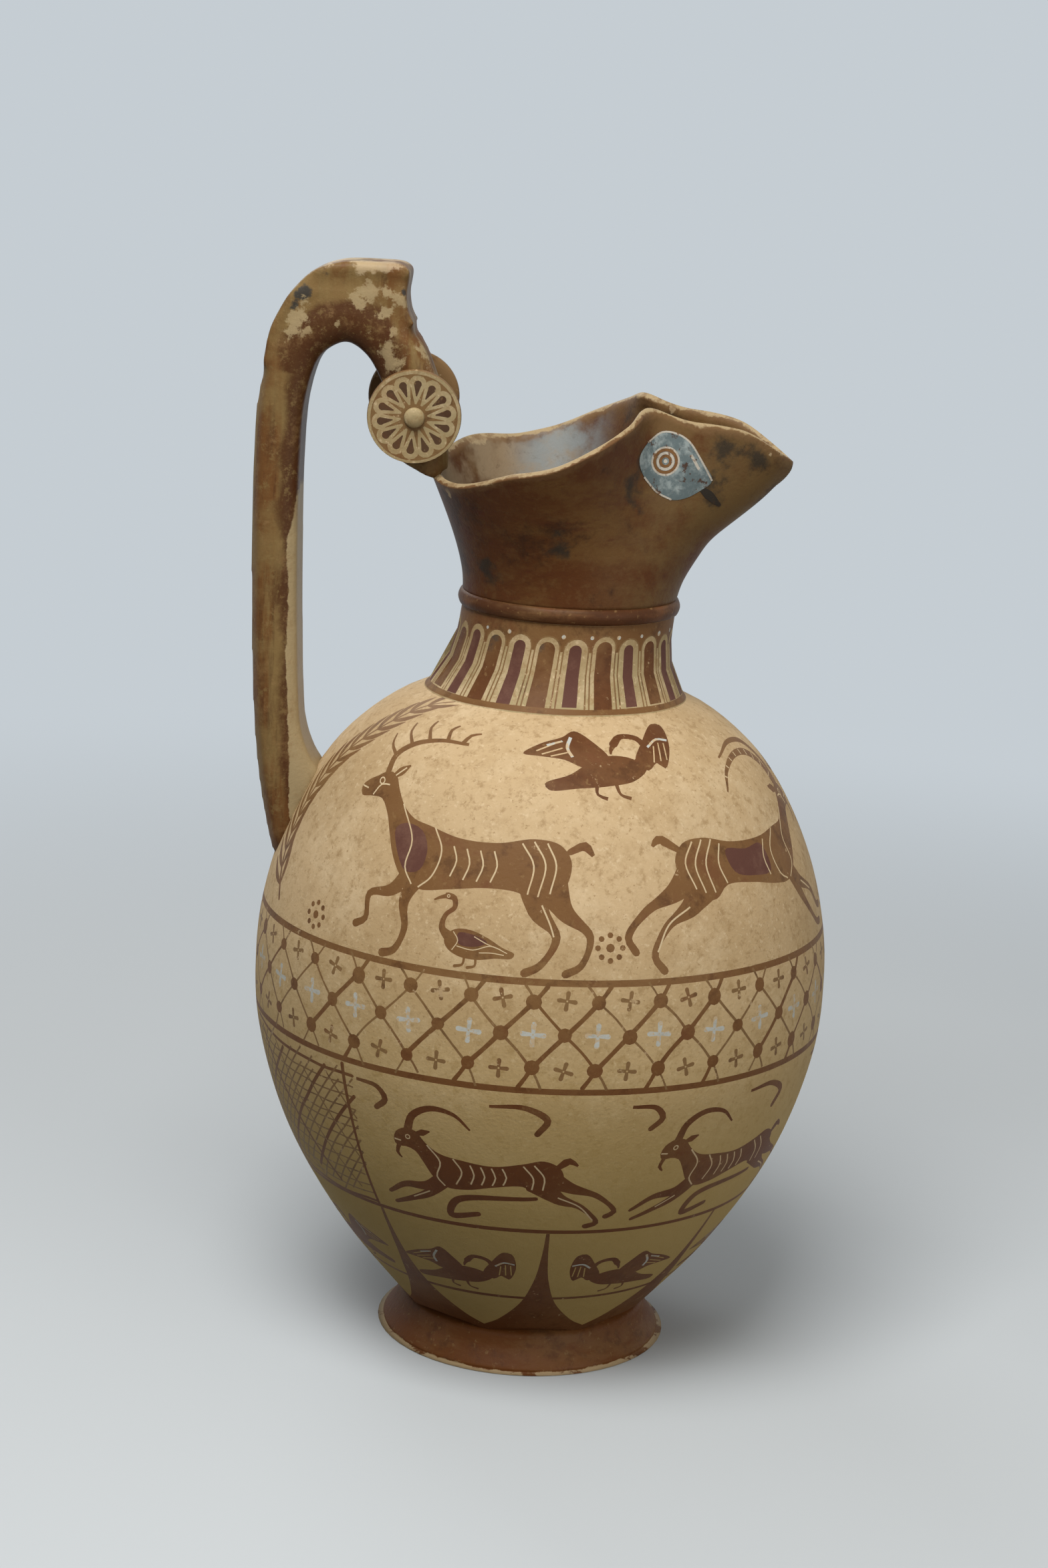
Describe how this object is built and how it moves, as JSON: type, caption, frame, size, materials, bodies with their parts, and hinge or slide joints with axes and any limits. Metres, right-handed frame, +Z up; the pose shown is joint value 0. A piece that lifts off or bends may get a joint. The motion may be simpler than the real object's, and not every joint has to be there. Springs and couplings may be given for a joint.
{
  "type": "trefoil jug",
  "caption": "Fired clay pouring jug with a round body, disc foot, three-lobed mouth and high reeded strap handle.",
  "frame": {"origin": "centre of the foot's flat underside", "axes": "+Z up along the pot's axis, +X towards the spout, handle towards -X"},
  "size_m": [0.1794, 0.1736, 0.3263],
  "materials": {
    "foot": "brown slip, satin",
    "body": "buff clay with brown slip painting",
    "neck": "buff clay with painted tongues",
    "neck_ring": "brown slip, satin",
    "mouth": "dark brown slip, satin",
    "handle": "brown slip, worn on top",
    "thumb_rest": "brown slip, worn",
    "disc": "buff clay with painted petals",
    "boss": "buff clay"
  },
  "bodies": {
    "root": {"foot": "foot", "body": "body", "neck": "neck", "neck_ring": "neck_ring", "mouth": "mouth", "handle": "handle", "thumb_rest": "thumb_rest", "disc_right": "disc", "boss_right": "boss", "disc_left": "disc", "boss_left": "boss"}
  },
  "joints": []
}
